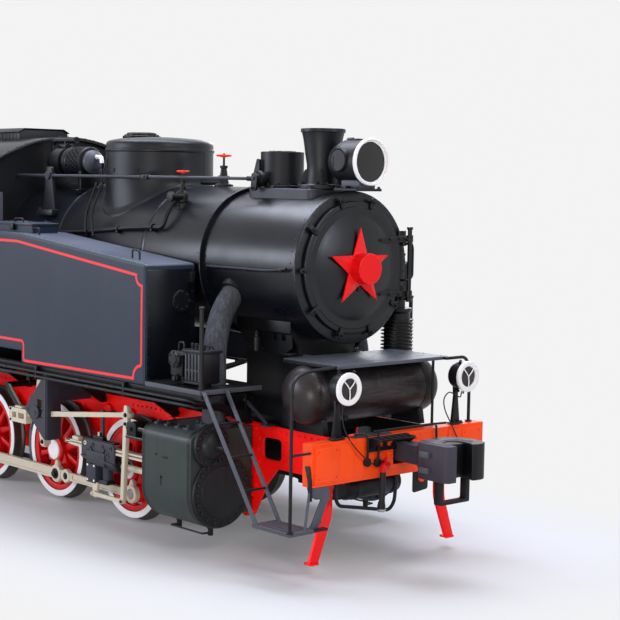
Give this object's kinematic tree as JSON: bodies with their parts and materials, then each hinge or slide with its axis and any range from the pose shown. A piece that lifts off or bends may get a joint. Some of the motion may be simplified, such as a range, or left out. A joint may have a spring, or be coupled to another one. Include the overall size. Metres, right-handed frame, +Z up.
{
  "type": "steam locomotive",
  "caption": "Side-tank steam locomotive for broad gauge with coupled driving wheels, valve gear, enclosed cab, bunker, smokebox door star and automatic couplers.",
  "frame": {"origin": "centre of the base: midway between the coupler tips, on the engine's middle, at the wheel flanges' lowest point", "axes": "+X to the front, +Y to the engine's left, +Z up"},
  "size_m": [9.62, 2.86, 4.13],
  "materials": {
    "black_paint": "gloss enamel, near black",
    "tank_paint": "gloss enamel, blue-black",
    "frame_red": "semi-gloss enamel, signal red",
    "beam_orange": "semi-gloss enamel, orange-red",
    "wheel_red": "enamel over cast steel",
    "rod_cream": "cream enamel",
    "cladding_green": "dark grey-green enamel",
    "step_grey": "dark grey enamel",
    "lamp_white": "white enamel",
    "rubber": "black rubber"
  },
  "bodies": {
    "locomotive": {"front_coupler": "black_paint", "rear_coupler": "black_paint", "boiler": "black_paint", "smokebox": "black_paint", "chimney": "black_paint", "throttle_housing": "black_paint", "dome": "black_paint", "headlamp": "black_paint", "running_board_right": "black_paint", "running_board_left": "black_paint", "cab_front": "black_paint", "cab_side_right": "black_paint", "cab_side_left": "black_paint", "cab_back_and_bunker": "black_paint", "cab_roof": "black_paint", "air_tank": "black_paint", "lubricator": "black_paint", "compressor": "black_paint", "valve_right": "black_paint", "valve_top": "black_paint", "tank_right": "tank_paint", "tank_left": "tank_paint", "main_frame": "frame_red", "rail_guard_right": "frame_red", "rail_guard_left": "frame_red", "brake_cock": "frame_red", "front_beam": "beam_orange", "rear_beam": "beam_orange", "motion_right": "rod_cream", "motion_left": "rod_cream", "cylinder_right": "cladding_green", "cylinder_left": "cladding_green", "turbo_generator": "step_grey", "cab_floor": "step_grey", "front_platform": "step_grey", "front_step": "step_grey", "brake_gear_right": "step_grey", "brake_gear_left": "step_grey", "beam_lamp_right": "lamp_white", "beam_lamp_left": "lamp_white", "brake_hose": "rubber", "lamp_cable_right": "rubber", "lamp_cable_left": "rubber"},
    "wheelset_front": {"wheel_front_right": "wheel_red", "wheel_front_left": "wheel_red", "axle_front": "wheel_red"},
    "wheelset_middle": {"wheel_middle_right": "wheel_red", "wheel_middle_left": "wheel_red", "axle_middle": "wheel_red"},
    "wheelset_rear": {"wheel_rear_right": "wheel_red", "wheel_rear_left": "wheel_red", "axle_rear": "wheel_red"},
    "rods_right": {"coupling_rod_right": "rod_cream"},
    "rods_left": {"coupling_rod_left": "rod_cream"},
    "smokebox_door": {"smokebox_door": "black_paint", "door_star": "frame_red"},
    "filler_lid_right": {"filler_lid_right": "tank_paint"},
    "filler_lid_left": {"filler_lid_left": "tank_paint"},
    "cab_door_right": {"cab_door_right": "black_paint"},
    "cab_door_left": {"cab_door_left": "black_paint"}
  },
  "joints": [
    {"name": "wheels_middle", "type": "hinge", "parent": "locomotive", "child": "wheelset_middle", "pos_m": [-0.53, 0, 0.555], "axis": [0, 1, 0], "continuous": true},
    {"name": "wheels_front", "type": "hinge", "parent": "locomotive", "child": "wheelset_front", "pos_m": [0.88, 0, 0.555], "axis": [0, 1, 0], "continuous": true},
    {"name": "wheels_rear", "type": "hinge", "parent": "locomotive", "child": "wheelset_rear", "pos_m": [-1.94, 0, 0.555], "axis": [0, 1, 0], "continuous": true},
    {"name": "rod_crank_right", "type": "hinge", "parent": "wheelset_middle", "child": "rods_right", "pos_m": [-0.3775, -0.915, 0.32017], "axis": [0, 1, 0], "continuous": true},
    {"name": "rod_crank_left", "type": "hinge", "parent": "wheelset_middle", "child": "rods_left", "pos_m": [-0.29517, 0.915, 0.7075], "axis": [0, 1, 0], "continuous": true},
    {"name": "smokebox_door_hinge", "type": "hinge", "parent": "locomotive", "child": "smokebox_door", "pos_m": [3.33, 0.7, 2.741], "axis": [0, 0, 1], "range_deg": [0, 120]},
    {"name": "filler_lid_right_hinge", "type": "hinge", "parent": "locomotive", "child": "filler_lid_right", "pos_m": [-0.765, -0.925, 3.0425], "axis": [-1, 0, 0], "range_deg": [0, 95]},
    {"name": "filler_lid_left_hinge", "type": "hinge", "parent": "locomotive", "child": "filler_lid_left", "pos_m": [-0.765, 0.925, 3.0425], "axis": [1, 0, 0], "range_deg": [0, 95]},
    {"name": "cab_door_right_hinge", "type": "hinge", "parent": "locomotive", "child": "cab_door_right", "pos_m": [-3.17, -1.414, 2.265], "axis": [0, 0, -1], "range_deg": [0, 100]},
    {"name": "cab_door_left_hinge", "type": "hinge", "parent": "locomotive", "child": "cab_door_left", "pos_m": [-3.17, 1.414, 2.265], "axis": [0, 0, 1], "range_deg": [0, 100]}
  ],
  "couplings": [
    {"joint": "wheels_front", "follows": "wheels_middle", "ratio": 1},
    {"joint": "wheels_rear", "follows": "wheels_middle", "ratio": 1},
    {"joint": "rod_crank_right", "follows": "wheels_middle", "ratio": -1},
    {"joint": "rod_crank_left", "follows": "wheels_middle", "ratio": -1}
  ]
}
